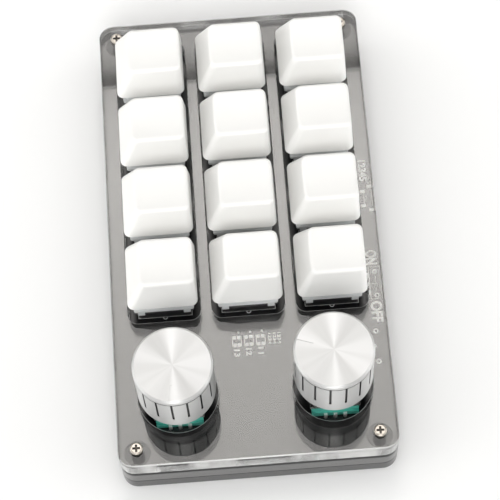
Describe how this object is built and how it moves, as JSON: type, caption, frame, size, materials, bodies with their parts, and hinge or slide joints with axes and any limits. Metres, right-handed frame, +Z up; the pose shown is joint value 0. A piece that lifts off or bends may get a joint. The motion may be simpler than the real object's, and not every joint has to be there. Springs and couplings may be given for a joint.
{
  "type": "macro keypad",
  "caption": "Desk macro keypad: a shallow tray, circuit board and clear slotted cover carry rows of sprung key caps, push-turn knobs and a side power slider.",
  "frame": {"origin": "centre of the footprint on the surface that the feet stand on", "axes": "+Z up, +Y along the body away from the knobs, +X towards the wall with the power slider"},
  "size_m": [0.0712, 0.128, 0.0421],
  "materials": {
    "tray_black": "moulded gloss black",
    "foot_rubber": "matt rubber",
    "board_black": "black solder mask",
    "print_white": "screen-printed ink",
    "cover_clear": "polished clear acrylic",
    "screw_nickel": "nickel plated",
    "switch_black": "moulded black",
    "switch_milky": "milky translucent",
    "contact_metal": "tinned",
    "spring_steel": "drawn wire",
    "socket_steel": "plated",
    "cell_foil": "foil pouch",
    "cap_white": "fine moulded texture",
    "stem_plastic": "moulded",
    "encoder_green": "moulded teal",
    "knob_aluminium": "spun and anodised"
  },
  "bodies": {
    "base": {"base_tray": "tray_black", "rubber_feet": "foot_rubber", "circuit_board": "board_black", "clear_cover": "cover_clear", "cover_screws": "screw_nickel", "switch_bases": "switch_black", "switch_tops": "switch_milky", "switch_contacts": "contact_metal", "left_encoder_pins": "contact_metal", "right_encoder_pins": "contact_metal", "key_springs": "spring_steel", "power_switch": "switch_black", "usb_tongue": "switch_black", "controller_chip": "switch_black", "usb_socket": "socket_steel", "left_encoder_frame": "socket_steel", "right_encoder_frame": "socket_steel", "battery_cell": "cell_foil", "left_encoder_body": "encoder_green", "right_encoder_body": "encoder_green"},
    "key_1": {"keycap_1": "cap_white", "key_stem_1": "stem_plastic"},
    "key_2": {"keycap_2": "cap_white", "key_stem_2": "stem_plastic"},
    "key_3": {"keycap_3": "cap_white", "key_stem_3": "stem_plastic"},
    "key_4": {"keycap_4": "cap_white", "key_stem_4": "stem_plastic"},
    "key_5": {"keycap_5": "cap_white", "key_stem_5": "stem_plastic"},
    "key_6": {"keycap_6": "cap_white", "key_stem_6": "stem_plastic"},
    "key_7": {"keycap_7": "cap_white", "key_stem_7": "stem_plastic"},
    "key_8": {"keycap_8": "cap_white", "key_stem_8": "stem_plastic"},
    "key_9": {"keycap_9": "cap_white", "key_stem_9": "stem_plastic"},
    "key_10": {"keycap_10": "cap_white", "key_stem_10": "stem_plastic"},
    "key_11": {"keycap_11": "cap_white", "key_stem_11": "stem_plastic"},
    "key_12": {"keycap_12": "cap_white", "key_stem_12": "stem_plastic"},
    "left_push": {"left_push_plunger": "stem_plastic"},
    "left_dial": {"left_encoder_shaft": "socket_steel", "left_knob": "knob_aluminium"},
    "right_push": {"right_push_plunger": "stem_plastic"},
    "right_dial": {"right_encoder_shaft": "socket_steel", "right_knob": "knob_aluminium"},
    "power_nub": {"power_slider": "switch_black"}
  },
  "joints": [
    {"name": "key_1_press", "type": "slide", "parent": "base", "child": "key_1", "axis": [0, 0, -1], "range_m": [0, 0.004], "stiffness_N_per_m": 120, "springref_m": -0.003, "deforming": ["key_springs"]},
    {"name": "key_2_press", "type": "slide", "parent": "base", "child": "key_2", "axis": [0, 0, -1], "range_m": [0, 0.004], "stiffness_N_per_m": 120, "springref_m": -0.003, "deforming": ["key_springs"]},
    {"name": "key_3_press", "type": "slide", "parent": "base", "child": "key_3", "axis": [0, 0, -1], "range_m": [0, 0.004], "stiffness_N_per_m": 120, "springref_m": -0.003, "deforming": ["key_springs"]},
    {"name": "key_4_press", "type": "slide", "parent": "base", "child": "key_4", "axis": [0, 0, -1], "range_m": [0, 0.004], "stiffness_N_per_m": 120, "springref_m": -0.003, "deforming": ["key_springs"]},
    {"name": "key_5_press", "type": "slide", "parent": "base", "child": "key_5", "axis": [0, 0, -1], "range_m": [0, 0.004], "stiffness_N_per_m": 120, "springref_m": -0.003, "deforming": ["key_springs"]},
    {"name": "key_6_press", "type": "slide", "parent": "base", "child": "key_6", "axis": [0, 0, -1], "range_m": [0, 0.004], "stiffness_N_per_m": 120, "springref_m": -0.003, "deforming": ["key_springs"]},
    {"name": "key_7_press", "type": "slide", "parent": "base", "child": "key_7", "axis": [0, 0, -1], "range_m": [0, 0.004], "stiffness_N_per_m": 120, "springref_m": -0.003, "deforming": ["key_springs"]},
    {"name": "key_8_press", "type": "slide", "parent": "base", "child": "key_8", "axis": [0, 0, -1], "range_m": [0, 0.004], "stiffness_N_per_m": 120, "springref_m": -0.003, "deforming": ["key_springs"]},
    {"name": "key_9_press", "type": "slide", "parent": "base", "child": "key_9", "axis": [0, 0, -1], "range_m": [0, 0.004], "stiffness_N_per_m": 120, "springref_m": -0.003, "deforming": ["key_springs"]},
    {"name": "key_10_press", "type": "slide", "parent": "base", "child": "key_10", "axis": [0, 0, -1], "range_m": [0, 0.004], "stiffness_N_per_m": 120, "springref_m": -0.003, "deforming": ["key_springs"]},
    {"name": "key_11_press", "type": "slide", "parent": "base", "child": "key_11", "axis": [0, 0, -1], "range_m": [0, 0.004], "stiffness_N_per_m": 120, "springref_m": -0.003, "deforming": ["key_springs"]},
    {"name": "key_12_press", "type": "slide", "parent": "base", "child": "key_12", "axis": [0, 0, -1], "range_m": [0, 0.004], "stiffness_N_per_m": 120, "springref_m": -0.003, "deforming": ["key_springs"]},
    {"name": "left_knob_push", "type": "slide", "parent": "base", "child": "left_push", "axis": [0, 0, -1], "range_m": [0, 0.0005], "stiffness_N_per_m": 900, "springref_m": -0.002},
    {"name": "left_knob_turn", "type": "hinge", "parent": "left_push", "child": "left_dial", "pos_m": [-0.0196, -0.04515, 0], "axis": [0, 0, 1], "continuous": true},
    {"name": "right_knob_push", "type": "slide", "parent": "base", "child": "right_push", "axis": [0, 0, -1], "range_m": [0, 0.0005], "stiffness_N_per_m": 900, "springref_m": -0.002},
    {"name": "right_knob_turn", "type": "hinge", "parent": "right_push", "child": "right_dial", "pos_m": [0.0201, -0.04515, 0], "axis": [0, 0, 1], "continuous": true},
    {"name": "power_slide", "type": "slide", "parent": "base", "child": "power_nub", "axis": [0, 1, 0], "range_m": [0, 0.002]}
  ]
}
